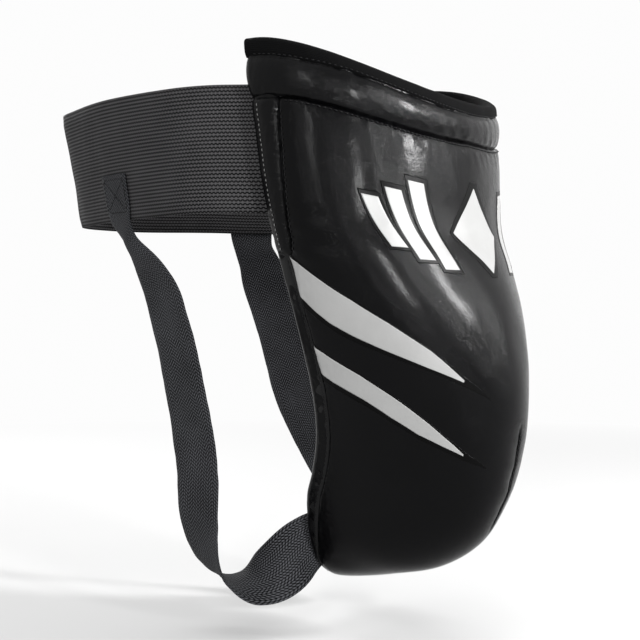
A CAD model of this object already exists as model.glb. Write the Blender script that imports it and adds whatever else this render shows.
import math

import bpy
import numpy as np
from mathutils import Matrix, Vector


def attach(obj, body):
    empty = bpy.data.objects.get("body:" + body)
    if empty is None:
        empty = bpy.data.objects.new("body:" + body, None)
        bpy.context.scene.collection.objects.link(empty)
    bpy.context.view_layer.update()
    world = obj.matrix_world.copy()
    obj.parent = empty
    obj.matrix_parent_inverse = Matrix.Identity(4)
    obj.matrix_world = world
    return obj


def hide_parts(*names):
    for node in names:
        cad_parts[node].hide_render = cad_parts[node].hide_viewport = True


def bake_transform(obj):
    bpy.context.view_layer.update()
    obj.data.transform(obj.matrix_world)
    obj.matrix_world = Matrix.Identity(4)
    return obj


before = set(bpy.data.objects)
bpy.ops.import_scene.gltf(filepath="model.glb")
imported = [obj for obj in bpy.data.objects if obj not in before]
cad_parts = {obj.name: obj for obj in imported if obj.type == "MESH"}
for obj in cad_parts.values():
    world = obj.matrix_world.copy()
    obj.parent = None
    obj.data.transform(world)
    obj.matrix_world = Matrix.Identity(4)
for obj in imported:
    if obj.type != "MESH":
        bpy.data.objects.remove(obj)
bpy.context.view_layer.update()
MM = 0.001
MIRROR = np.array([-1, 1, 1])
rng = np.random.default_rng(484)

# ---- shield surface
# centre y, centre z, edge x, edge y, edge z, rim power, squareness (mm)
ROWS = np.array([
    [-146, 32, 118, -63, 60, 1.8, 0.07], [-147, -12, 116, -68, 12, 1.6, 0.07],
    [-149, -44, 112, -72, -28, 1.3, 0.075], [-159, -68, 105, -76, -60, 1.1, 0.08],
    [-169, -93, 95, -80, -93, 1, 0.075], [-176, -120, 84, -82, -123, 1, 0.05],
    [-179, -148, 73, -81, -148, 1, 0.025], [-178, -178, 63, -77, -171, 1, 0.01],
    [-171, -208, 54, -69, -193, 1, 0], [-155, -235, 46, -60, -211, 1, 0],
    [-130, -252, 39, -56, -228, 1, 0], [-99, -260, 32, -54, -243, 1, 0],
    [-70, -265, 25, -54, -255, 1, 0], [-54, -265, 12, -53, -263, 1, 0]], float)
END = 13.0  # v of the crotch end
# thickness of the layers, and the share of the foam that is left at the shield's edge
COVER, FOAM, CUP, BACK, LINING = 1.2, 5.0, 2.5, 4.0, 0.8
EDGE_FILL = 0.3


def spline(table, t):
    """Catmull-Rom through the rows of table, end rows doubled."""
    last = len(table) - 1
    t = np.clip(np.asarray(t, float), 0, last)
    i = np.minimum(np.floor(t).astype(int), last - 1)
    f = (t - i).reshape(t.shape + (1,) * (table.ndim - 1))
    p, q = table[np.maximum(i - 1, 0)], table[i]
    r, s = table[i + 1], table[np.minimum(i + 2, last)]
    return 0.5 * (2 * q + (r - p) * f + (2 * p - 5 * q + 4 * r - s) * f * f
                  + (3 * q - p - 3 * r + s) * f ** 3)


def face(u, v):
    """The shield's outer face in mm: u runs from -1 (right edge) to 1, v from 0 (rim) to 13 (crotch)."""
    u, v = np.broadcast_arrays(np.asarray(u, float), np.asarray(v, float))
    row = spline(ROWS, v)
    c = np.maximum(np.cos(u * np.pi / 2), 0)
    s = np.sin(u * np.pi / 2)
    x = row[..., 2] * (s + row[..., 6] * np.sin(u * np.pi))
    y = row[..., 3] + (row[..., 0] - row[..., 3]) * c
    z = row[..., 4] + (row[..., 1] - row[..., 4]) * c ** row[..., 5]
    return np.stack([x, y, z], -1)


def norms(a):
    """Lengths of the vectors along the last axis."""
    return np.linalg.norm(a, axis=-1)


def unit(a):
    return a / np.maximum(np.linalg.norm(a, axis=-1, keepdims=True), 1e-12)


def inward(u, v):
    """Unit direction towards the wearer; the clips keep it steady where rows and columns run together."""
    a, b, e = np.clip(u, -0.94, 0.94), np.clip(v, 0.05, 12.3), 0.02
    return unit(np.cross(face(a + e, b) - face(a - e, b), face(a, b + e) - face(a, b - e)))


def full(u, v):
    """Share of the foam's thickness, thinning out towards the edges."""
    return EDGE_FILL + (1 - EDGE_FILL) * (1 - np.abs(u) ** 3) * (1 - (np.abs(v - 6.5) / 6.5) ** 6)


def depth(u, v):
    """Thickness of all the layers together."""
    k = full(u, v)
    return COVER + (FOAM + BACK) * k + CUP * np.minimum(1, 1.6 * k) + LINING


def deep(u, v, d):
    """A point d mm behind the face."""
    d = np.asarray(d, float)
    return face(u, v) + inward(u, v) * d[..., None]


def smooth(a, b, x):
    t = np.clip((x - a) / (b - a), 0, 1)
    return t * t * (3 - 2 * t)


# seams of the front: v of the roll's and the rim tape's lower edges against |u|, |u| of the welt against v
ROLL_AT, ROLL_V = [0, 0.3, 0.55, 0.76, 0.9, 1.0], [0.56, 0.6, 0.62, 0.64, 0.66, 0.68]
BIND_AT, BIND_V = [0, 0.3, 0.55, 0.75, 0.93, 1.0], [0.2, 0.18, 0.17, 0.22, 0.24, 0.24]
WELT_AT, WELT_U = [0.5, 1.3, 2.0, 2.7, 3.0, 3.3], [0.87, 0.88, 0.895, 0.92, 0.93, 0.94]
WELT_END = 3.05
# where the narrow binding begins on the front
EDGE_TAPE_U, END_TAPE_V = 0.955, 12.65


def roll_v(u):
    return np.interp(np.abs(u), ROLL_AT, ROLL_V)


def bind_v(u):
    return np.interp(np.abs(u), BIND_AT, BIND_V)


def welt_u(v):
    return np.interp(v, WELT_AT, WELT_U)


def pitch_u(u, v):
    """Millimetres per unit of u."""
    e = 0.01
    return norms(face(u + e, v) - face(u - e, v)) / (2 * e)


def pitch_v(u, v):
    e = 0.02
    return norms(face(u, v + e) - face(u, v - e)) / (2 * e)


class Waves:
    """A soft, repeatable noise made of sine waves, about -1 to 1."""

    def __init__(self, size, count=14):
        way = unit(rng.normal(size=(count, 3)))
        self.k = way * (2 * np.pi / size) * rng.uniform(0.6, 1.5, (count, 1))
        self.p = rng.uniform(0, 2 * np.pi, count)

    def __call__(self, points):
        return np.sin(points @ self.k.T + self.p).sum(-1) / math.sqrt(len(self.p)) * 0.8


BROAD, MIDDLE, FINE = Waves(95), Waves(34), Waves(13)
PUCKER, PUCKER_FINE = Waves(9, 18), Waves(5, 18)


def rise(d, reach, power=1.2):
    """0 at a seam to 1 on the full padding, by the distance d from the seam."""
    return 1 - np.exp(-(np.maximum(d, 0) / reach) ** power)


def valley(d, width):
    """1 in the seam, falling off on both sides."""
    return np.exp(-(d / width) ** 2)


def puckers(p, squeeze=(1, 1, 1)):
    return PUCKER(p * np.array(squeeze)) + 0.5 * PUCKER_FINE(p)


def base_relief(p):
    return 0.42 * BROAD(p) + 0.12 * MIDDLE(p)


def main_height(u, v):
    """Outward height of the main front panel, in mm."""
    p = face(u, v)
    d_roll = (v - roll_v(u)) * pitch_v(u, v)
    d_side = (welt_u(v) - np.abs(u)) * pitch_u(u, v)
    d_edge = (EDGE_TAPE_U - np.abs(u)) * pitch_u(u, v)
    upper = 1 - smooth(WELT_END - 0.06, WELT_END + 0.02, v)
    d_end = (END_TAPE_V - v) * pitch_v(u, v)
    under = smooth(0, -2.5, d_side) * upper
    side = d_side * upper + d_edge * (1 - upper)
    h = base_relief(p)
    h += 1.6 * rise(d_roll, 7) - 1.5 * valley(d_roll, 1.2)
    h += 1.2 * rise(side, 7) - 1.3 * valley(side, 1.2)
    h += -0.8 * valley(np.maximum(d_end, 0), 3)
    near = np.exp(-np.maximum(d_roll, 0) / 6.5) * 0.34 + np.exp(-np.maximum(side, 0) / 6.5) * 0.3
    h += near * puckers(p)
    # short closing seam low on the centre line
    along = smooth(6.45, 6.9, v) * (1 - smooth(8.35, 8.9, v))
    d_mid = p[..., 0]
    h += along * (-1.7 * valley(d_mid, 1.3) - 0.7 * valley(d_mid, 7))
    h += along * 0.3 * np.exp(-np.abs(d_mid) / 7) * PUCKER(p * np.array([0.25, 1, 1]))
    # tension lines running from the end of the welt into the panel
    q = np.stack([np.abs(p[..., 0]), p[..., 1], p[..., 2]], -1) - face(0.93, WELT_END)
    r = norms(q)
    h += 0.8 * valley(r, 22) * np.sin(q[..., 2] / 3.1 + r / 9) * smooth(1, 5, r)
    return h - 3.0 * under


def grid_quads(n, m, closed):
    """Corner numbers of the quads of an n by m grid; closed joins the last column to the first."""
    i, j = np.meshgrid(np.arange(n - 1), np.arange(m if closed else m - 1), indexing="ij")
    j2 = (j + 1) % m
    return np.stack([i * m + j, i * m + j2, (i + 1) * m + j2, (i + 1) * m + j], -1).reshape(-1, 4)


def quad_mesh(name, points, quads, uv=None):
    """Points (mm) and quads as a smooth mesh object."""
    co = (points.reshape(-1, 3) * MM).astype(np.float32)
    me = bpy.data.meshes.new(name)
    me.vertices.add(len(co))
    me.vertices.foreach_set("co", co.ravel())
    me.loops.add(quads.size)
    me.loops.foreach_set("vertex_index", quads.ravel().astype(np.int32))
    me.polygons.add(len(quads))
    me.polygons.foreach_set("loop_start", np.arange(0, quads.size, 4, dtype=np.int32))
    me.update(calc_edges=True)
    if uv is not None:
        me.uv_layers.new(name="UVMap").data.foreach_set("uv", uv.ravel())
    me.polygons.foreach_set("use_smooth", np.ones(len(quads), bool))
    me.validate()
    ob = bpy.data.objects.new(name, me)
    bpy.context.scene.collection.objects.link(ob)
    return ob


def patch_mesh(name, points, close_rows=False, uv=None):
    """A grid of points (mm), with uv given for each of them, as a mesh object."""
    n, m = points.shape[:2]
    quads = grid_quads(n, m, close_rows)
    flat = None
    if uv is not None:
        uv = np.asarray(uv, np.float32)
        flat = uv.reshape(-1, 2)[quads.ravel()].copy()
        if close_rows:
            # the seam's quads take the far end of the width, not its start
            wrap = np.repeat(quads[:, 1] % m == 0, 4).reshape(-1, 4)
            wrap[:, [0, 3]] = False
            flat[wrap.ravel(), 1] = uv[:, :, 1].max()
    return quad_mesh(name, points, quads, flat)


def joined(name, grids, closed=False):
    """Several grids of points as one mesh object."""
    quads, base = [], 0
    for g in grids:
        n, m = g.shape[:2]
        quads.append(grid_quads(n, m, closed) + base)
        base += n * m
    return quad_mesh(name, np.concatenate([g.reshape(-1, 3) for g in grids]), np.concatenate(quads))


def dress(ob, material, slot, body="shield", replaces=()):
    ob.data.materials.clear()
    ob.data.materials.append(material)
    if body:
        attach(ob, body)
    if replaces:
        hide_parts(*replaces)
    return ob


# ---- materials
class Nodes:
    """A short way to build a node material."""

    def __init__(self, name):
        self.mat = bpy.data.materials.new(name)
        self.mat.use_nodes = True
        self.tree = self.mat.node_tree
        self.bsdf = self.tree.nodes["Principled BSDF"]

    def add(self, kind, **values):
        node = self.tree.nodes.new("ShaderNode" + kind)
        for key, value in values.items():
            if hasattr(node, key) and key not in node.inputs:
                setattr(node, key, value)
            else:
                node.inputs[key].default_value = value
        return node

    def link(self, a, b):
        self.tree.links.new(a, b)

    def math(self, op, a, b=None, c=None, clamp=False):
        node = self.add("Math", operation=op, use_clamp=clamp)
        for k, value in enumerate([a, b, c]):
            if value is None:
                continue
            if isinstance(value, (int, float)):
                node.inputs[k].default_value = value
            else:
                self.link(value, node.inputs[k])
        return node.outputs[0]

    def times(self, a, b):
        return self.math("MULTIPLY", a, b)

    def plus(self, a, b):
        return self.math("ADD", a, b)

    def noise(self, vec, scale, detail=2.0, rough=0.5):
        node = self.add("TexNoise", Scale=scale, Detail=detail, Roughness=rough)
        self.link(vec, node.inputs["Vector"])
        return node.outputs["Fac"]

    def voronoi(self, vec, scale, feature="DISTANCE_TO_EDGE"):
        node = self.add("TexVoronoi", feature=feature, Scale=scale)
        self.link(vec, node.inputs["Vector"])
        return node.outputs["Distance"]

    def span(self, value, low, high, out_low, out_high):
        node = self.add("MapRange")
        for k, x in enumerate([low, high, out_low, out_high]):
            node.inputs[k + 1].default_value = x
        self.link(value, node.inputs[0])
        return node.outputs[0]

    def ramp(self, value, stops):
        """Base colour from value, by two stops of (place, colour)."""
        node = self.add("ValToRGB")
        for element, (place, colour) in zip(node.color_ramp.elements, stops):
            element.position, element.color = place, (*colour, 1)
        self.link(value, node.inputs[0])
        self.link(node.outputs["Color"], self.bsdf.inputs["Base Color"])

    def bump(self, parts):
        """parts: (height, strength, distance in metres), finest last."""
        last = None
        for height, strength, distance in parts:
            node = self.add("Bump", Strength=strength, Distance=distance)
            self.link(height, node.inputs["Height"])
            if last is not None:
                self.link(last, node.inputs["Normal"])
            last = node.outputs["Normal"]
        self.link(last, self.bsdf.inputs["Normal"])

    def coords(self, which="Object"):
        return self.add("TexCoord").outputs[which]

    def set(self, **values):
        for key, value in values.items():
            self.bsdf.inputs[key.replace("_", " ")].default_value = value


def shades(base, low, high):
    """Ramp stops that darken and lighten a colour."""
    return [(low[0], tuple(low[1] * c for c in base)), (high[0], tuple(min(1, high[1] * c) for c in base))]


def leather(name, base, rough, gloss, scale=1.0):
    """Smooth synthetic leather; scale makes its grain finer."""
    n = Nodes(name)
    pos = n.coords()
    cells = n.voronoi(pos, 1500 * scale)
    creases = n.span(cells, 0.0, 0.12, 0.0, 1.0)
    pores = n.noise(pos, 3200 * scale, 2.0, 0.6)
    folds = n.noise(pos, 240 * scale, 3.0, 0.55)
    wear = n.noise(pos, 26, 4.0, 0.6)
    n.ramp(wear, shades(base, (0.3, 0.85), (0.72, 1.25)))
    fleck = n.span(pores, 0.35, 0.75, -0.035, 0.045)
    patch = n.span(wear, 0.3, 0.7, -0.035, 0.05)
    n.link(n.math("ADD", n.plus(fleck, patch), rough, clamp=True), n.bsdf.inputs["Roughness"])
    n.set(Specular_IOR_Level=gloss)
    pebbles = n.noise(pos, 820 * scale, 1.5, 0.5)
    n.bump([(folds, 0.14, 0.0004), (pebbles, 0.45, 0.00014), (creases, 0.3, 0.0001), (pores, 0.2, 0.00003)])
    return n.mat


def woven(name, dark, light, cord_pitch, rib_pitch, rough, depth, slant=0.0, broken=0.0, sheen=0.01, gloss=0.05):
    """Elastic webbing: cords along U (metres), ribs across them. With broken, the ribs slant one way and
    back in stripes of that width, as in a twill."""
    n = Nodes(name)
    uv = n.add("SeparateXYZ")
    n.link(n.coords("UV"), uv.inputs[0])
    along, across = uv.outputs[0], uv.outputs[1]
    turn = 2 * math.pi
    cord = n.math("ABSOLUTE", n.math("SINE", n.times(n.times(across, turn / cord_pitch), 0.5)))
    ribs = n.times(along, turn / rib_pitch)
    if broken:
        flip = n.math("PINGPONG", n.math("DIVIDE", across, broken), 1.0)
        ribs = n.plus(ribs, n.times(flip, slant * turn * broken / rib_pitch))
    else:
        # ribs step sideways at each cord, which gives the knitted look
        ribs = n.plus(ribs, n.times(n.math("FLOOR", n.math("DIVIDE", across, cord_pitch)), math.pi))
    rib = n.math("MULTIPLY_ADD", n.math("SINE", ribs), 0.5, 0.5)
    if broken:
        height = n.times(n.math("POWER", cord, 0.7), n.math("MULTIPLY_ADD", rib, 0.65, 0.35))
    else:
        # small dark holes where the gaps of cords and ribs meet
        no_cord = n.math("SUBTRACT", 1.0, cord)
        gap = n.math("POWER", n.times(no_cord, n.math("SUBTRACT", 1.0, rib)), 0.55)
        groove = n.times(n.math("POWER", no_cord, 3.0), 0.22)
        height = n.math("SUBTRACT", 1.0, n.math("MULTIPLY_ADD", gap, 1.3, groove))
    pos = n.coords()
    fuzz = n.noise(pos, 2600, 2.0, 0.7)
    blotch = n.noise(pos, 34, 3.0, 0.6)
    grain = n.plus(n.times(fuzz, 0.34), n.math("MULTIPLY_ADD", blotch, 0.24, -0.2))
    n.ramp(n.plus(n.times(height, 0.72), grain), [(0.25, dark), (0.8, light)])
    n.link(n.math("MULTIPLY_ADD", height, -0.12, rough + 0.06), n.bsdf.inputs["Roughness"])
    n.set(Sheen_Weight=sheen, Sheen_Roughness=0.5, Specular_IOR_Level=gloss)
    n.bump([(blotch, 0.2, 0.0012), (height, 0.8, depth), (fuzz, 0.25, 0.0001)])
    return n.mat


def cloth(name, base):
    """Thin knitted lining."""
    n = Nodes(name)
    pos = n.coords()
    fuzz = n.noise(pos, 1900, 3.0, 0.7)
    knit = n.voronoi(pos, 900, "F1")
    blotch = n.noise(pos, 40, 3.0, 0.6)
    n.ramp(n.plus(n.times(fuzz, 0.5), n.times(blotch, 0.5)), shades(base, (0.3, 0.6), (0.75, 1.5)))
    n.set(Roughness=0.85, Sheen_Weight=0.08, Sheen_Roughness=0.45, Specular_IOR_Level=0.25)
    n.bump([(blotch, 0.15, 0.001), (knit, 0.4, 0.0003), (fuzz, 0.4, 0.0002)])
    return n.mat


def thread(name, base):
    """Twisted sewing thread."""
    n = Nodes(name)
    twist = n.noise(n.coords(), 5200, 1.0, 0.5)
    n.ramp(twist, shades(base, (0.3, 0.6), (0.7, 1.3)))
    n.set(Roughness=0.5, Specular_IOR_Level=0.14)
    n.bump([(twist, 0.4, 0.0001)])
    return n.mat


def film(name, base, rough, gloss=0.5):
    """Printed film that takes the leather's folds and creases."""
    n = Nodes(name)
    pos = n.coords()
    creases = n.span(n.voronoi(pos, 1500), 0.0, 0.12, 0.0, 1.0)
    wear = n.noise(pos, 60, 4.0, 0.65)
    n.ramp(wear, shades(base, (0.3, 0.94), (0.7, 1.0)))
    n.link(n.span(wear, 0.3, 0.7, rough - 0.04, rough + 0.06), n.bsdf.inputs["Roughness"])
    n.set(Specular_IOR_Level=gloss)
    n.bump([(n.noise(pos, 240, 3.0, 0.55), 0.14, 0.0007), (creases, 0.12, 0.00016)])
    return n.mat


def plastic(name, base, rough, scale=500):
    """Foam or moulded plastic with a grain."""
    n = Nodes(name)
    grain = n.noise(n.coords(), scale, 3.0, 0.6)
    n.ramp(grain, shades(base, (0.3, 0.9), (0.7, 1.08)))
    n.link(n.span(grain, 0.3, 0.7, rough - 0.05, rough + 0.08), n.bsdf.inputs["Roughness"])
    n.bump([(grain, 0.3, 0.0003)])
    return n.mat


M_COVER = leather("cover_leather", (0.0011, 0.0011, 0.0013), 0.15, gloss=0.08)
M_WELT = leather("welt_leather", (0.0014, 0.0014, 0.0016), 0.16, gloss=0.1)
M_EDGE = leather("edge_leather", (0.002, 0.002, 0.0022), 0.34, gloss=0.18, scale=1.2)
M_RIM = woven("rim_tape", (0.0003, 0.0003, 0.0004), (0.0018, 0.0018, 0.002), 0.0009, 0.0011, 0.9, 0.00012,
              sheen=0.0, gloss=0.07)
M_BAND = woven("band_elastic", (0.0006, 0.0006, 0.0007), (0.056, 0.055, 0.057), 0.0022, 0.0024, 0.72, 0.0004)
M_STRAP = woven("strap_elastic", (0.0005, 0.0005, 0.0006), (0.075, 0.077, 0.084), 0.0016, 0.0023, 0.7, 0.0003,
                slant=0.9, broken=0.0046)
M_LINING = cloth("lining_cloth", (0.02, 0.02, 0.021))
M_THREAD = thread("black_thread", (0.0035, 0.0035, 0.004))
M_GREY = thread("grey_thread", (0.12, 0.12, 0.118))
M_WHITE = film("print_white", (0.27, 0.27, 0.267), 0.34)
M_BLACK = film("print_black", (0.0008, 0.0008, 0.0008), 0.3, gloss=0.06)
M_FOAM = plastic("grey_foam", (0.12, 0.12, 0.125), 0.85, 1800)
M_CUP = plastic("cup_plastic", (0.6, 0.6, 0.57), 0.4)


# ---- shield pieces
def skirted(points, normals, drop=2.6):
    """Adds a rim that turns inwards all round a grid of points."""
    def widen(p, n, axis):
        first = np.take(p, [0], axis) + np.take(n, [0], axis) * drop
        last = np.take(p, [-1], axis) + np.take(n, [-1], axis) * drop
        n2 = np.concatenate([np.take(n, [0], axis), n, np.take(n, [-1], axis)], axis)
        return np.concatenate([first, p, last], axis), n2
    points, normals = widen(points, normals, 0)
    points, normals = widen(points, normals, 1)
    return points


def panel_points(u, v, h):
    """Points h mm in front of the face."""
    return face(u, v) - inward(u, v) * h[..., None]


def cover_piece():
    nu, nv = ((380, 460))
    s = np.linspace(-1, 1, nu)
    # more columns near the side seams
    u = np.sign(s) * (1 - (1 - np.abs(s)) ** 1.12)
    u, t = np.meshgrid(u, np.linspace(0, 1, nv), indexing="xy")
    top = roll_v(u)
    v = top + (END - top) * t
    p = skirted(panel_points(u, v, main_height(u, v)), inward(u, v))
    return dress(patch_mesh("cover_panel", p), M_COVER, "cover_leather", replaces=["outer_cover"])


def wrapped(side_cols, u_cols, v_of, height, extra=0.35, steps=7):
    """Rows down v, columns from the inner face round the side edge, across the front and back in.
    side_cols says which edges are wrapped: -1, 1 or both."""
    cols = []
    if -1 in side_cols:
        cols += [("in", -1, a) for a in np.linspace(0.94, 0.995, 5)]
        cols += [("arc", -1, f) for f in np.linspace(np.pi, 0, steps)[:-1]]
    cols += [("out", 0, a) for a in u_cols]
    if 1 in side_cols:
        cols += [("arc", 1, f) for f in np.linspace(0, np.pi, steps)[1:]]
        cols += [("in", 1, a) for a in np.linspace(0.995, 0.94, 5)]
    out = []
    for kind, side, a in cols:
        if kind == "out":
            u = np.full(v_of(a).shape, a)
            v = v_of(a)
            out.append(panel_points(u, v, height(u, v)))
        elif kind == "in":
            v = v_of(side)
            u = np.full(v.shape, side * a)
            out.append(deep(u, v, depth(u, v) + extra))
        else:
            v = v_of(side)
            u = np.full(v.shape, float(side))
            n = inward(u, v)
            e = face(u, v) - face(u * 0.97, v)
            e = unit(e - (e * n).sum(-1, keepdims=True) * n)
            d = depth(u, v)
            h = height(u, v) * (0.5 + 0.5 * np.cos(a)) + extra * (0.5 - 0.5 * np.cos(a))
            r = (d / 2 + h)[..., None]
            out.append(face(u, v) + n * (d / 2)[..., None] + r * (-math.cos(a) * n + math.sin(a) * e))
    return np.stack(out, 1)


def roll_height(u, v):
    p = face(u, v)
    a, b = bind_v(u), roll_v(u)
    t = np.clip((v - a) / (b - a), 0, 1)
    d = (b - v) * pitch_v(u, v)
    h = 3.0 * np.sin(np.pi * np.clip(t * 0.94 + 0.04, 0, 1)) ** 0.75 + 0.5 * base_relief(p)
    h += (np.exp(-np.abs(d) / 5) * 0.5 + np.exp(-t * 6) * 0.2) * puckers(p, (1, 1, 0.35))
    return h - 1.5 * valley(d, 1.3)


def roll_piece():
    nu, nv = ((380, 46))
    t = np.linspace(0, 1, nv)

    def v_of(u):
        # the roll begins under the tape that binds the rim
        return bind_v(u) * 0.55 + (roll_v(u) - bind_v(u) * 0.55) * t
    p = wrapped((-1, 1), np.linspace(-1, 1, nu), v_of, roll_height)
    return dress(patch_mesh("top_roll_pad", p), M_WELT, "cover_leather", replaces=["top_roll"])


def welt_height(u, v):
    p = face(u, v)
    inner = welt_u(v)
    t = np.clip((1 - np.abs(u)) / (1 - inner), 0, 1)
    d_in = (np.abs(u) - inner) * pitch_u(u, v)
    d_top = (v - roll_v(u)) * pitch_v(u, v)
    d_low = (WELT_END - v) * pitch_v(u, v)
    h = 0.35 + 1.9 * np.sin(np.pi * (0.16 + 0.82 * t)) ** 0.9 + 0.3 * base_relief(p)
    h *= 0.2 + 0.8 * rise(d_top, 2.5, 1.4)
    h *= 0.4 + 0.6 * rise(d_low, 2.2, 1.4)
    h += -1.2 * valley(d_in, 1.2) - valley(d_top, 1.2)
    return h + (0.26 * np.exp(-np.abs(d_in) / 5) + 0.12) * puckers(p, (1, 0.5, 1))


def welt_piece(word):
    nu, nv = ((34, 150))
    v = np.linspace(0.62, WELT_END, nv)
    k = np.linspace(0, 1, nu)
    base = wrapped((-1,), [-1.0], lambda a: v, welt_height)[:, :-1]
    u = -(1 - (1 - welt_u(v))[:, None] * k[None, :])
    vv = np.repeat(v[:, None], nu, 1)
    front = panel_points(u, vv, welt_height(u, vv))
    p = np.concatenate([base, front], 1)
    low = p[-1:] + inward(np.full(p.shape[1], -0.97), np.full(p.shape[1], WELT_END))[None] * 2.0
    p = np.concatenate([p, low], 0)
    if word == "left":
        p = (p * MIRROR)[:, ::-1]
    return dress(patch_mesh(f"side_welt_pad_{word}", p), M_WELT, "cover_leather", replaces=[f"side_welt_{word}"])


# the stitched oval round the cup: half width, middle and half height in u and v, and its mean radius in mm
OVAL_U, OVAL_V, OVAL_HIGH, OVAL_RADIUS = 0.74, 7.3, 4.9, 42


def lining_height(u, v):
    """Towards the wearer, in mm; never so low that the foam behind shows through."""
    p = face(u, v)
    d = (np.sqrt((u / OVAL_U) ** 2 + ((v - OVAL_V) / OVAL_HIGH) ** 2) - 1) * OVAL_RADIUS
    h = 0.5 * BROAD(p) + 0.25 * MIDDLE(p) + 1.25
    h += 1.3 * rise(np.abs(d), 6, 1.3) - 0.9 * valley(d, 1.3)
    h += 0.35 * np.exp(-np.abs(d) / 6) * puckers(p)
    edge = np.minimum((1 - np.abs(u)) * pitch_u(u, v), np.minimum(v, END - v) * pitch_v(u, v))
    return np.maximum(h, 0.55) * smooth(2, 16, edge)


def lining_piece():
    nu, nv = ((230, 280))
    u, v = np.meshgrid(np.linspace(0.99, -0.99, nu), np.linspace(0.02, 12.97, nv), indexing="xy")
    p = deep(u, v, depth(u, v) + lining_height(u, v))
    ob = patch_mesh("inner_lining_cloth", p)
    dress(ob, M_LINING, "lining_cloth", replaces=["inner_lining"])


def foam_piece():
    nu, nv = 60, 70
    u, v = np.meshgrid(np.linspace(-0.97, 0.97, nu), np.linspace(0.1, 12.8, nv), indexing="xy")
    inner = COVER + FOAM * full(u, v) - 0.05
    front = deep(u, v, np.minimum(3.0, inner - 0.3))
    back = deep(u, v, inner)
    rows = np.concatenate([front, back[::-1]], 0)
    ob = patch_mesh("front_foam_pad", np.concatenate([rows, rows[:1]], 0))
    return dress(ob, M_FOAM, "foam", replaces=["front_foam"])


def capped(rings):
    """Closes a sweep of closed rings with shrinking rings at both ends."""
    def end(ring):
        c = ring.mean(0)
        return [c + (ring - c) * k for k in (0.985, 0.6, 0.02)]
    first = end(rings[0])[::-1]
    return np.concatenate([np.stack(first), rings[:1], rings, rings[-1:], np.stack(end(rings[-1]))], 0)


def sweep(name, rings, material, slot, uv, **kw):
    """A closed sweep with its ends capped and its uv repeated over the caps."""
    uv = np.concatenate([np.repeat(uv[:1], 4, 0), uv, np.repeat(uv[-1:], 4, 0)], 0)
    return dress(patch_mesh(name, capped(rings), close_rows=True, uv=uv), material, slot, **kw)


def run_length(p):
    """Distance along a line of points, from 0."""
    return np.concatenate([[0], np.cumsum(norms(np.diff(p, axis=0)))])


def hem_rings(edge_uv, leg_uv, thick, lift, leg_steps):
    """Rings of a folded tape round an edge. edge_uv and leg_uv are (n, 2): the edge and the tape's far side."""
    crown, arc_steps = 0.25, 9
    ue, ve = edge_uv.T
    ul, vl = leg_uv.T
    n = inward(ue, ve)
    e = face(ue, ve) - face(ul, vl)
    e = unit(e - (e * n).sum(-1, keepdims=True) * n)
    d = depth(ue, ve)
    front, back = [], []
    for a in np.linspace(0, 1, leg_steps):
        u, v = (leg_uv + (edge_uv - leg_uv) * a).T
        height = thick * (1 - (1 - min(1, a * 3)) ** 2) + crown * math.sin(math.pi * a) + lift
        front.append(deep(u, v, 0 * d - height))
        back.append(deep(u, v, depth(u, v) + height))
    root, root_in = deep(ul, vl, 0 * d + 0.6), deep(ul, vl, depth(ul, vl) - 0.4)
    c = deep(ue, ve, d / 2)
    r = (d / 2 + thick + lift)[:, None]
    arc = [c + r * (-math.cos(f) * n + math.sin(f) * e * 0.8) for f in np.linspace(0, np.pi, arc_steps + 2)[1:-1]]
    return np.stack([root] + front + arc + back[::-1] + [root_in], 1)


def strip_run(mid):
    """Distance along a strip's or a sweep's middle column."""
    return run_length(mid[:, mid.shape[1] // 2])


def ring_uv(rings):
    """Distances along and round a sweep, in metres."""
    along = strip_run(rings)
    across = np.concatenate([[0], np.cumsum(norms(np.diff(rings, axis=1)).mean(0))])
    return np.stack(np.broadcast_arrays(along[:, None] * MM, across[None, :] * MM), -1)


def top_binding_piece():
    n = 240
    u = np.linspace(-1, 1, n)
    edge = np.stack([u, np.zeros(n)], -1)
    leg = np.stack([u, bind_v(u)], -1)
    rings = hem_rings(edge, leg, 1.0, 0.25, leg_steps=8)
    p = face(u, 0 * u)
    wob = 0.22 * MIDDLE(p) + 0.12 * FINE(p)
    rings = rings + (inward(u, 0 * u) * wob[:, None])[:, None, :]
    # the tape stands out a little past both ends
    tip = unit(face(-1.0, 0.1) - face(-0.95, 0.1))
    first = np.stack([rings[0] + tip * d for d in (3.0, 2.0, 1.0)])
    last = np.stack([rings[-1] + tip * MIRROR * d for d in (1.0, 2.0, 3.0)])
    rings = np.concatenate([first, rings, last], 0)
    return sweep("top_binding_tape", rings, M_RIM, "rim_tape", ring_uv(rings), replaces=["top_binding"])


def edge_path(n_side, n_end):
    """The lower outline as (u, v) stations from the right welt round the crotch to the left welt."""
    side_end, corner_u, tape_u = 12.55, 0.18, 0.052
    v = np.linspace(WELT_END - 0.05, side_end, n_side)
    right = np.stack([np.full(n_side, -1.0), v], -1)
    right_leg = np.stack([0 * v - 1.0 + tape_u, v], -1)
    a = np.linspace(0, 1, 9)[1:-1]
    corner = np.stack([-1 + corner_u * a ** 2, side_end + (END - side_end) * (1 - (1 - a) ** 2)], -1)
    corner_leg = np.stack([-1 + tape_u + (corner_u + 0.03) * a, side_end + 0.08 * a], -1)
    u = np.linspace(corner_u - 1, 1 - corner_u, n_end)
    low = np.stack([u, np.full(n_end, END)], -1)
    low_leg = np.stack([u * 0.9, np.full(n_end, 12.62)], -1)
    flip = np.array([-1, 1])
    edge = np.concatenate([right, corner, low, corner[::-1] * flip, right[::-1] * flip])
    leg = np.concatenate([right_leg, corner_leg, low_leg, corner_leg[::-1] * flip, right_leg[::-1] * flip])
    for _ in range(3):
        leg[1:-1] = (leg[:-2] + 2 * leg[1:-1] + leg[2:]) / 4
    return edge, leg


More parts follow.
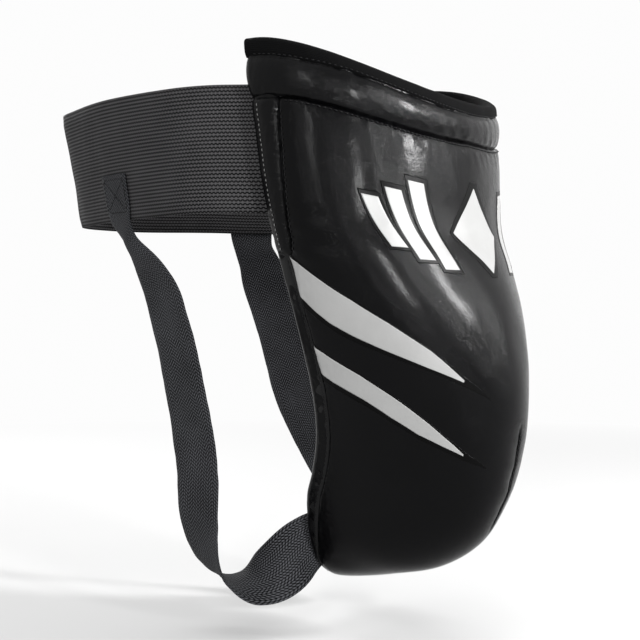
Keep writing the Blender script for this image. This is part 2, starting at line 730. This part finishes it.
def edge_binding_piece():
    edge, leg = edge_path(220, 24)
    rings = hem_rings(edge, leg, 0.9, 0.2, leg_steps=6)
    p = face(edge[:, 0], edge[:, 1])
    wob = 0.14 * FINE(p) + 0.1 * PUCKER(p)
    rings = rings + (inward(edge[:, 0], edge[:, 1]) * wob[:, None])[:, None, :]
    return sweep("edge_binding_strip", rings, M_EDGE, "edge_tape", ring_uv(rings),
                 replaces=["edge_binding_right", "edge_binding_left", "crotch_binding"])


cover = cover_piece()
roll = roll_piece()
welt_right = welt_piece("right")
welt_left = welt_piece("left")
lining_piece()
foam = foam_piece()
top_binding_piece()
edge_binding_piece()


# ---- elastics
# the band's course seen from above, on the right side and then mirrored
PLAN = np.array([[-113.5, -56], [-121, -38], [-124, -15], [-119, 12], [-108, 40], [-97, 64],
                 [-84, 89], [-65, 117], [-36, 142], [0, 151]], float)
PLAN = np.concatenate([PLAN, PLAN[-2::-1] * np.array([-1, 1])])
LEAN = 7.0  # how far the band's top stands out past its middle, and its bottom in
BAND_H, BAND_T, STRAP_W, STRAP_T = 75.0, 1.8, 38.0, 1.6


def planned(s, z):
    """Point of the band's outer face and the outward direction there; the band stands wider at its top."""
    s, z = np.broadcast_arrays(np.asarray(s, float), np.asarray(z, float))
    run = spline(PLAN, s + 0.2) - spline(PLAN, s - 0.2)
    out = unit(np.stack([-run[..., 1], run[..., 0]], -1))
    m = np.minimum(s, len(PLAN) - 1 - s)
    lean = LEAN * smooth(0, 1, (m - 1) / 4) * (1 - 0.7 * smooth(0, 1, (m - 7) / 2))
    xy = spline(PLAN, s) + out * (lean * z / (BAND_H / 2))[..., None]
    return np.concatenate([xy, z[..., None]], -1), np.concatenate([out, 0 * z[..., None]], -1)


def at_height(u, z):
    """The v at which the face has height z, by halving."""
    a, b = np.zeros_like(z), np.full_like(z, 5.0)
    for _ in range(24):
        m = (a + b) / 2
        above = face(u, m)[..., 2] > z
        a, b = np.where(above, m, a), np.where(above, b, m)
    return (a + b) / 2


def even(line, step, sigma):
    """Resamples an (n, k, 3) set of lines evenly along their middle one and softens the corners."""
    s = strip_run(line)
    count = max(int(round(s[-1] / step)), 8)
    t = np.linspace(0, s[-1], count + 1)
    flat = line.reshape(len(line), -1)
    out = np.stack([np.interp(t, s, flat[:, c]) for c in range(flat.shape[1])], -1)
    reach = int(3 * sigma / step)
    w = np.exp(-0.5 * (np.arange(-reach, reach + 1) * step / sigma) ** 2)
    w /= w.sum()
    head = 2 * out[:1] - out[reach:0:-1]
    tail = 2 * out[-1:] - out[-2:-reach - 2:-1]
    wide = np.concatenate([head, out, tail])
    out = np.stack([np.convolve(wide[:, c], w, "valid") for c in range(wide.shape[1])], -1)
    return out.reshape(-1, line.shape[1], 3)


def webbing_rings(mid, normals, thick):
    """Closed rings round a woven strip: mid is (n, k, 3) from one selvedge to the other."""
    k = mid.shape[1]
    a = np.linspace(-1, 1, k)
    bulge = (thick / 2) * np.maximum(1 - np.abs(a) ** 18, 0) ** 0.5
    bulge = np.maximum(bulge, thick * 0.12)
    front = mid + normals * bulge[None, :, None]
    back = mid - normals * bulge[None, :, None]
    return np.concatenate([front, back[:, ::-1]], 1)


def strip_uv(mid):
    """Distances along and across a strip in metres, running on round its back."""
    along = strip_run(mid)
    across = run_length(mid[len(mid) // 2])
    both = np.concatenate([across, 2 * across[-1] - across[::-1] + across[-1] * 0.013])
    return np.stack(np.broadcast_arrays(along[:, None] * MM, both[None, :] * MM), -1)


def strip_normals(mid):
    return unit(np.cross(np.gradient(mid, axis=1), np.gradient(mid, axis=0)))


def band_mid():
    k = 13
    z = np.linspace(BAND_H / 2, -BAND_H / 2, k)
    rows = []
    for u in (-0.84, -0.87, -0.9, -0.93, -0.96, -0.985, -1.0):
        uu = np.full(k, u)
        v = at_height(uu, z)
        p = deep(uu, v, depth(uu, v) + 1.3 + BAND_T / 2)
        p[:, 2] = z
        rows.append(p)
    front = np.stack(rows)
    s = np.linspace(0, len(PLAN) - 1, 260)
    loop, out = planned(s[:, None], z[None, :])
    loop = loop - out * BAND_T / 2
    mid = even(np.concatenate([front, loop, front[::-1] * MIRROR]), 1.6, 4.0)
    # a soft wave, as slack elastic has, fading out at the sewn ends
    s = strip_run(mid)
    calm = smooth(20, 90, s) * smooth(20, 90, s[-1] - s)
    n = strip_normals(mid)
    wave = 0.9 * BROAD(mid) + 0.25 * MIDDLE(mid)
    mid = mid + n * (wave * calm[:, None])[..., None]
    mid[..., 2] += (0.6 * np.sin(s / 47 + 1.3) + 0.35 * np.sin(s / 19))[:, None] * calm[:, None]
    return mid


def waistband_piece():
    mid = band_mid()
    n = strip_normals(mid)
    ob = sweep("waistband_elastic", webbing_rings(mid, n, BAND_T), M_BAND, "band_elastic", strip_uv(mid), body=None,
               replaces=["waistband_right", "waistband_rear", "waistband_left"])
    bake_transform(ob)
    return mid


BAND_MID = waistband_piece()

# centre line, then the direction of the width; the left strap hangs further back
STRAP_RIGHT = np.array([
    [-94.2, 42.9, -50.5, 0.43, 0.9, 0], [-91.5, 36.5, -62, 0.36, 0.93, 0], [-86.5, 27, -80, 0.28, 0.96, 0],
    [-83.5, 21.8, -100, 0.24, 0.97, 0], [-80.5, 17, -124, 0.22, 0.975, 0], [-78, 13, -150, 0.2, 0.98, 0],
    [-76, 9, -174, 0.18, 0.98, 0], [-75, 6, -198, 0.18, 0.98, 0], [-75, 5, -224, 0.26, 0.965, 0],
    [-73, 2, -245, 0.42, 0.91, 0], [-69, -5, -260, 0.64, 0.77, 0], [-63, -15, -267, 0.82, 0.55, 0.12],
    [-55, -28, -266, 0.45, 0.55, 0.7], [-46, -39, -258, 0.05, 0.45, 0.9], [-36, -46, -247, -0.25, 0.2, 0.95]], float)
STRAP_LEFT = np.array([
    [84.4, 69.7, -52, -0.32, 0.95, 0], [86, 66, -62, -0.2, 0.98, 0], [86, 57.4, -88, 0.02, 1, 0],
    [84, 48.5, -110, 0.1, 0.995, 0], [82, 40, -133, 0.12, 0.99, 0], [80, 28, -163, 0.12, 0.99, 0],
    [78, 9, -190, 0.08, 0.99, 0], [76, -8, -212, -0.1, 0.99, 0], [74, -13, -232, -0.3, 0.95, 0],
    [71, -16, -250, -0.5, 0.87, 0], [66, -19, -262, -0.7, 0.71, 0], [60, -25, -267, -0.82, 0.55, 0.12],
    [53, -32, -265, -0.45, 0.55, 0.7], [46, -39, -258, -0.05, 0.45, 0.9], [36, -46, -247, 0.25, 0.2, 0.95]], float)
TAB_AT = {"right": 4.45, "left": 5.5}  # the tab's place along PLAN
NECK = {"right": 0.52, "left": 0.22}  # share of the width that is gathered up where the strap leaves the band
# the tab on the band, as height and distance from it; then the sewn low end on the lining, as u along one v
TAB_ROWS = ((-9, 1.3), (-20, 1.35), (-31, 1.3), (-38, 1.2))
LOW_END, LOW_V = (-0.985, -0.93, -0.87, -0.82), 10.85


def strap_mid(word):
    """The woven strap's middle surface: rows run from the end sewn to the band down to the end sewn to the pad."""
    rows = STRAP_RIGHT if word == "right" else STRAP_LEFT
    flip = np.array([1, 1, 1]) if word == "right" else MIRROR
    along = unit(spline(PLAN, TAB_AT[word] + 0.05) - spline(PLAN, TAB_AT[word]))
    along = np.array([*along, 0]) * flip
    top = []
    for z, lift in TAB_ROWS:
        p, out = planned(TAB_AT[word], z)
        top.append(np.concatenate([(p + out * lift) * flip, along]))
    low_width = unit(face(-1, 9.7) - face(-1, 11.9)) * flip
    low = []
    for u in LOW_END:
        p = deep(np.array(u), np.array(LOW_V), depth(u, LOW_V) + 3.0)
        low.append(np.concatenate([p * flip, low_width]))
    table = np.concatenate([top, rows, low])
    table[:, 3:] = unit(table[:, 3:])
    k = 13
    t = np.linspace(0, len(table) - 1, 320)
    line = spline(table, t)
    c, b = line[:, :3], unit(line[:, 3:])
    run = unit(np.gradient(c, axis=0))
    b = unit(b - (b * run).sum(-1, keepdims=True) * run)
    # gathered where it leaves the band, so narrower and bowed there
    s = run_length(c)
    neck = s[np.abs(t - len(TAB_ROWS)).argmin()]
    g = np.exp(-((s - neck) / 15) ** 2) * (1 - smooth(0, -12, s - neck) * 0.35)
    w = 1 - NECK[word] * g - 0.12 * smooth(6, -14, s - neck)
    a = np.linspace(-0.5, 0.5, k)
    mid = c[:, None] + b[:, None] * (a[None, :] * w[:, None] * STRAP_W)[..., None]
    n = np.cross(b, run)
    bow = 9.0 * NECK[word] * g * smooth(-16, 2, s - neck)
    mid = mid + n[:, None] * (bow[:, None] * np.cos(np.pi * a)[None, :])[..., None]
    mid = even(mid, 1.5, 3.0)
    n = strip_normals(mid)
    s = strip_run(mid)
    calm = smooth(45, 90, s) * smooth(30, 70, s[-1] - s)
    mid = mid + n * ((0.5 * MIDDLE(mid) + 0.12 * FINE(mid)) * calm[:, None])[..., None]
    # the edges of a soft strap curl a little
    curl = 0.5 * np.sin(s / 31 + (0 if word == "right" else 2)) * calm
    return mid + n * (curl[:, None] * (2 * a[None, :]) ** 2)[..., None]


def strap_pieces(word):
    """Upper and lower half of a strap: one mesh bends across one joint, and the strap bends at both ends."""
    mid = STRAP_MID[word]
    rings = webbing_rings(mid, strip_normals(mid), STRAP_T)
    uv = strip_uv(mid)
    cut = int(len(mid) * 0.52)
    body = "leg_strap_" + word
    for part, sl in (("upper", slice(0, cut + 1)), ("lower", slice(cut, None))):
        first = part == "upper"
        end = rings[0] if first else rings[-1]
        c0 = end.mean(0)
        scales = (0.02, 0.985, 1.0) if first else (1.0, 0.985, 0.02)
        cap = np.stack([c0 + (end - c0) * k for k in scales])
        cap_uv = np.repeat(uv[:1] if first else uv[-1:], 3, 0)
        parts = [cap, rings[sl]] if first else [rings[sl], cap]
        uvs = [cap_uv, uv[sl]] if first else [uv[sl], cap_uv]
        ob = patch_mesh(f"leg_strap_{part}_{word}", np.concatenate(parts), close_rows=True, uv=np.concatenate(uvs))
        dress(ob, M_STRAP, "strap_elastic", body=None)
        if first:
            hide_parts(f"strap_top_tab_{word}", body)
            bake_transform(ob)
        else:
            # level, so that the hanging part above stays clear of the bend
            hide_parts(f"strap_bottom_tab_{word}")
            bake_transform(ob)


STRAP_MID = {word: strap_mid(word) for word in ("right", "left")}
for word in ("right", "left"):
    strap_pieces(word)


# ---- prints
PRINT_STEP = 0.8
# how far the black and the white film stand above the leather
BLACK_LIFT, WHITE_LIFT = 0.1, 0.2


def film_piece(name, patches, lift, material, slot, replaces):
    """Printed film: each patch is rows of u0, v0, u1, v1 from one side of a shape to the other."""
    meshes = []
    for rows in patches:
        rows = np.asarray(rows, float)
        reach = run_length(face((rows[:, 0] + rows[:, 2]) / 2, (rows[:, 1] + rows[:, 3]) / 2))
        steps = max(int(reach[-1] / PRINT_STEP), 6)
        t = np.linspace(0, reach[-1], steps)
        r = np.stack([np.interp(t, reach, rows[:, c]) for c in range(4)], -1)
        wide = norms(face(rows[:, 0], rows[:, 1]) - face(rows[:, 2], rows[:, 3])).max()
        a = np.linspace(0, 1, max(int(wide / PRINT_STEP), 4))
        u = r[:, 0:1] * (1 - a) + r[:, 2:3] * a
        v = r[:, 1:2] * (1 - a) + r[:, 3:4] * a
        p = panel_points(u, v, main_height(u, v) + lift)
        meshes.append(skirted(p, inward(u, v), lift + 0.05))
    return dress(joined(name, meshes), material, slot, replaces=replaces)


def mirrored_rows(rows):
    return [[-r[0], r[1], -r[2], r[3]] for r in rows][::-1]


# the white flashes of the right side and their black outlines, as u and v of the upper and the lower edge
FLASHES = {
    "upper": [[-0.95, 3.05, -0.95, 3.72], [-0.9, 3.2, -0.9, 3.98], [-0.82, 3.46, -0.84, 4.24],
              [-0.72, 3.8, -0.76, 4.5], [-0.6, 4.28, -0.64, 4.84], [-0.47, 4.87, -0.5, 5.22],
              [-0.355, 5.53, -0.36, 5.57]],
    "lower": [[-0.95, 4.7, -0.95, 5.28], [-0.9, 4.88, -0.9, 5.5], [-0.785, 5.32, -0.79, 5.9],
              [-0.68, 5.8, -0.69, 6.32], [-0.575, 6.28, -0.585, 6.68], [-0.48, 6.7, -0.485, 6.91],
              [-0.385, 7.07, -0.388, 7.1]]}
OUTLINES = {
    "upper": [[-0.95, 2.98, -0.945, 3.95], [-0.9, 3.14, -0.895, 4.16], [-0.82, 3.41, -0.83, 4.42],
              [-0.72, 3.75, -0.75, 4.66], [-0.6, 4.23, -0.63, 4.98], [-0.47, 4.82, -0.49, 5.33],
              [-0.35, 5.47, -0.36, 5.66], [-0.23, 5.95, -0.232, 5.98]],
    "lower": [[-0.95, 4.64, -0.945, 5.48], [-0.9, 4.83, -0.895, 5.68], [-0.785, 5.27, -0.785, 6.06],
              [-0.68, 5.75, -0.685, 6.46], [-0.575, 6.24, -0.58, 6.8], [-0.48, 6.66, -0.48, 7.02],
              [-0.38, 7.02, -0.385, 7.2], [-0.25, 7.35, -0.252, 7.37]]}
for part in ("upper", "lower"):
    for word, turn in (("right", list), ("left", mirrored_rows)):
        film_piece(f"flash_outline_{part}_{word}", [turn(OUTLINES[part])], BLACK_LIFT, M_BLACK, "print_black",
                   [f"flash_edge_{part}_{word}"])
        film_piece(f"flash_print_{part}_{word}", [turn(FLASHES[part])], WHITE_LIFT, M_WHITE, "print_white",
                   [f"flash_{part}_{word}"])


EMBLEM_HALF, BAR_WIDE = 0.15, 0.07
# each bar: u at its foot, v of its top and of its foot
BARS = ((0.2, 1.3, 3.15), (0.3, 1.5, 2.95), (0.4, 1.7, 2.7))


def emblem_rows(du=0.0, dv=0.0):
    """A diamond between three slanted bars on each side, widened by du and dv."""
    t = np.linspace(-1, 1, 9)
    half = np.maximum(EMBLEM_HALF * (1 - np.abs(t)) + du * 1.3, 0.001)
    v = 2.2 - (1.0 + dv * 1.4) * t
    out = [np.stack([-half, v, half, v], -1)]
    t = np.linspace(0, 1, 5)
    for start, top, low in BARS:
        u = -start - BAR_WIDE * t
        v = low + dv - (low - top + 2 * dv) * t
        rows = np.stack([u - BAR_WIDE - du, v, u + du, v], -1)
        out += [rows, np.array(mirrored_rows(rows.tolist()))]
    return out


film_piece("emblem_outline", emblem_rows(0.015, 0.08), BLACK_LIFT, M_BLACK, "print_black", [])
film_piece("emblem_print", emblem_rows(), WHITE_LIFT, M_WHITE, "print_white", ["emblem"])


# ---- stitching
def stitch_piece(name, lines, replaces=(), material=M_THREAD, slot="thread_black", pitch=3.3, length=2.5, r=0.34):
    """Single stitches along lines; each line is points and outward directions, both in mm."""
    k, sides, raised = 5, 6, 0.16
    grids = []
    for p, n in lines:
        s = run_length(p)
        centres = np.arange(pitch * 0.7, s[-1] - pitch * 0.5, pitch)
        centres = centres + rng.uniform(-0.12, 0.12, len(centres))
        f = np.linspace(-0.5, 0.5, k)
        at = centres[:, None] + f[None, :] * length
        q = np.stack([np.interp(at, s, p[:, c]) for c in range(3)], -1)
        m = unit(np.stack([np.interp(at, s, n[:, c]) for c in range(3)], -1))
        run = unit(np.gradient(q, axis=1))
        side = unit(np.cross(run, m))
        lean = rng.uniform(-0.12, 0.12, len(centres))[:, None, None]
        q = q + side * lean * (f[None, :, None] * 2) * 1.2
        lift = raised + r * 0.6 - 2.2 * r * np.abs(2 * f) ** 3
        q = q + m * lift[None, :, None]
        girth = r * np.array([0.3, 0.9, 1.0, 0.9, 0.3])
        ang = np.linspace(0, 2 * np.pi, sides, endpoint=False)
        across, rising = np.cos(ang)[:, None] * side[:, :, None], np.sin(ang)[:, None] * m[:, :, None]
        grids += list(q[:, :, None] + girth[:, None, None] * (across + rising))
    dress(joined(name, grids, closed=True), material, slot, replaces=replaces)


def on_face(u, v, height):
    """A line for stitch_piece on the front."""
    u, v = np.broadcast_arrays(np.asarray(u, float), np.asarray(v, float))
    return panel_points(u, v, height(u, v)), -inward(u, v)


def mirror_line(line):
    return line[0] * MIRROR, line[1] * MIRROR


uu = np.linspace(-0.85, 0.85, 260)
below_roll = roll_v(uu) + 2.0 / pitch_v(uu, roll_v(uu))
stitch_piece("roll_seam_stitches", [on_face(uu, below_roll, main_height)], ["roll_stitching"])
vv = np.linspace(0.76, WELT_END - 0.04, 120)
vo = np.linspace(0.72, WELT_END - 0.02, 120)
for word, turn in (("right", lambda line: line), ("left", mirror_line)):
    inner = -welt_u(vv) + 2.0 / pitch_u(welt_u(vv), vv)
    under = np.linspace(-welt_u(WELT_END) + 0.012, -0.965, 16)
    outer = -1 + 2.2 / pitch_u(np.full(120, 0.97), vo)
    stitch_piece(f"welt_inner_stitches_{word}", [
        turn(on_face(inner, vv, main_height)),
        turn(on_face(under, 0 * under + WELT_END - 0.075, welt_height))])
    stitch_piece(f"welt_outer_stitches_{word}", [turn(on_face(outer, vo, welt_height))], [f"welt_stitching_{word}"],
                 M_GREY, "thread_grey", length=1.9, pitch=2.9, r=0.28)
    ve = np.linspace(WELT_END + 0.05, 12.4, 360)
    ue = np.full(360, -0.962)
    stitch_piece(f"edge_tape_stitches_{word}", [turn((deep(ue, ve, np.full(360, -1.25)), -inward(ue, ve)))],
                 [f"edge_stitching_{word}"], length=2.3)
vm = np.linspace(6.7, 8.7, 60)
stitch_piece("centre_seam_stitches", [on_face(0.012 + 0 * vm, vm, main_height)], ["centre_seam"])
ut = np.linspace(-0.985, 0.985, 300)
vt = bind_v(ut) - 1.7 / pitch_v(ut, bind_v(ut))
stitch_piece("top_tape_stitches", [(deep(ut, vt, np.full(300, -1.15)), -inward(ut, vt))])


def on_strip(mid, thick, s_at, a_at, front=1):
    """A line on a woven strip: distances along it and shares of its width from -1 to 1."""
    n = strip_normals(mid)
    k = mid.shape[1]
    s = strip_run(mid)
    i = np.interp(s_at, s, np.arange(len(mid)))
    j = (np.asarray(a_at) + 1) / 2 * (k - 1)
    i0, j0 = np.minimum(i.astype(int), len(mid) - 2), np.minimum(j.astype(int), k - 2)
    fi, fj = (i - i0)[:, None], (j - j0)[:, None]

    def pick(g):
        return ((1 - fi) * (1 - fj) * g[i0, j0] + fi * (1 - fj) * g[i0 + 1, j0]
                + (1 - fi) * fj * g[i0, j0 + 1] + fi * fj * g[i0 + 1, j0 + 1])
    m = unit(pick(n)) * front
    return pick(mid) + m * thick / 2, m


def box_lines(mid, thick, s0, s1, a, front):
    """A sewn box with a cross in it, from s0 to s1 along a strip and from -a to a across it."""
    corners = [(s0, -a), (s1, -a), (s1, a), (s0, a), (s0, -a)]
    pairs = list(zip(corners[:-1], corners[1:])) + [((s0, -a), (s1, a)), ((s0, a), (s1, -a))]
    return [on_strip(mid, thick, np.linspace(c[0], d[0], 30), np.linspace(c[1], d[1], 30), front) for c, d in pairs]


def side_away(mid, i, j, point):
    """1 if the strip's normal at (i, j) points away from the given point, otherwise -1."""
    return 1 if strip_normals(mid)[i, j] @ (mid[i, j] - np.array(point)) > 0 else -1


for word in ("right", "left"):
    m = STRAP_MID[word]
    total = strip_run(m)[-1]
    tab_side = side_away(m, 4, m.shape[1] // 2, (0, 20, -20))
    end_side = side_away(m, -4, 3, (0, -110, -200))
    stitch_piece(f"strap_tab_stitches_{word}", box_lines(m, STRAP_T, 3, 24, 0.82, tab_side),
                 length=2.1, pitch=2.8, r=0.28)
    stitch_piece(f"strap_end_stitches_{word}", box_lines(m, STRAP_T, total - 17, total - 3, 0.85, end_side),
                 length=2.1, pitch=2.8, r=0.28)
total = strip_run(BAND_MID)[-1]
across = np.linspace(-0.92, 0.92, 60)
lines = [on_strip(BAND_MID, BAND_T, np.full(60, s_at), across, -1) for s_at in (3.0, 11.0, total - 3.0, total - 11.0)]
stitch_piece("band_end_stitches", lines)
th = np.linspace(0, 2 * np.pi, 500)
ul, vl = OVAL_U * np.cos(th), OVAL_V + OVAL_HIGH * np.sin(th)
stitch_piece("lining_stitches", [(deep(ul, vl, depth(ul, vl) + lining_height(ul, vl)), inward(ul, vl))],
             length=2.7, pitch=3.6)

# ---- carried-over solids
for node, material in (("hard_cup", M_CUP), ("cup_surround", M_FOAM), ("back_foam", M_FOAM)):
    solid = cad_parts[node]
    solid.data.materials.clear()
    solid.data.materials.append(material)

# ---- camera, light, floor
# the camera looks level, from 60 degrees round from the front towards the wearer's right; these are unit vectors
AHEAD, RIGHT, UP = np.array([0.8660, 0.5, 0]), np.array([0.5, -0.8660, 0]), np.array([0, 0, 1.0])
SENSOR, LENS = 36.0, 75.15  # mm
DISTANCE = 0.875  # metres from the point looked past
# how far the view turns off that point to the left and down, as slopes
AIM_LEFT, AIM_DOWN = 0.02021, 0.01497
eye = np.array([0, -0.060, -0.088]) - AHEAD * DISTANCE
aim = AHEAD - RIGHT * AIM_LEFT - UP * AIM_DOWN
cam_data = bpy.data.cameras.new("camera")
cam = bpy.data.objects.new("camera", cam_data)
bpy.context.scene.collection.objects.link(cam)
cam_data.sensor_width, cam_data.lens = SENSOR, LENS
cam.location = Vector(eye)
cam.rotation_mode = "QUATERNION"
cam.rotation_quaternion = Vector(aim).to_track_quat("-Z", "Y")
bpy.context.scene.camera = cam


def area_light(name, place, width, height, watts):
    """A white rectangle of light that faces the object."""
    data = bpy.data.lights.new(name, "AREA")
    data.shape, data.size, data.size_y = "RECTANGLE", width, height
    data.energy = watts
    ob = bpy.data.objects.new(name, data)
    bpy.context.scene.collection.objects.link(ob)
    ob.location = Vector(place)
    ob.rotation_mode = "QUATERNION"
    ob.rotation_quaternion = (Vector(CENTRE) - Vector(place)).to_track_quat("-Z", "Y")


world = bpy.data.worlds.new("studio")
world.use_nodes = True
PALE = 0.98  # brightness of the surroundings and of the backdrop
world.node_tree.nodes["Background"].inputs["Color"].default_value = (1, 1, 1, 1)
world.node_tree.nodes["Background"].inputs["Strength"].default_value = PALE
bpy.context.scene.world = world
bpy.context.scene.view_settings.view_transform = "Standard"

CENTRE = (0.0, -0.06, -0.11)


def aimed(azimuth, elevation, distance):
    """A place round CENTRE, by angles in degrees and metres."""
    a, e = math.radians(azimuth), math.radians(elevation)
    way = (math.cos(a) * math.cos(e), math.sin(a) * math.cos(e), math.sin(e))
    return tuple(c + distance * d for c, d in zip(CENTRE, way))


area_light("strip_front", aimed(-67, 20, 1.4), 0.14, 0.3, 26)
area_light("strip_side", aimed(-110, 7, 1.5), 0.1, 0.22, 14)
area_light("fill", aimed(-158, 16, 1.6), 0.09, 0.6, 7)
area_light("back", aimed(60, 30, 1.6), 0.5, 0.9, 12)
area_light("top", (-0.2, -0.1, 1.4), 0.8, 0.8, 5)

FLOOR_HALF, FLOOR_Z = 12.0, -0.30
floor_mesh = bpy.data.meshes.new("floor")
corners = [(x * FLOOR_HALF, y * FLOOR_HALF, FLOOR_Z) for x, y in ((-1, -1), (1, -1), (1, 1), (-1, 1))]
floor_mesh.from_pydata(corners, [], [(0, 1, 2, 3)])
floor = bpy.data.objects.new("floor", floor_mesh)
bpy.context.scene.collection.objects.link(floor)
floor_look = Nodes("floor_paint")
# the paint passes into a glowing backdrop away from the object, so that no horizon shows
away = floor_look.add("VectorMath", operation="LENGTH")
floor_look.link(floor_look.coords(), away.inputs[0])
glow = floor_look.span(away.outputs["Value"], 0.5, 1.5, 0.0, 1.0)
floor_look.set(Roughness=0.8, Specular_IOR_Level=0.0)
floor_look.ramp(glow, [(0.0, (0.52, 0.52, 0.52)), (1.0, (0.0, 0.0, 0.0))])
floor_look.bsdf.inputs["Emission Color"].default_value = (1, 1, 1, 1)
floor_look.link(floor_look.times(glow, PALE), floor_look.bsdf.inputs["Emission Strength"])
floor.data.materials.append(floor_look.mat)
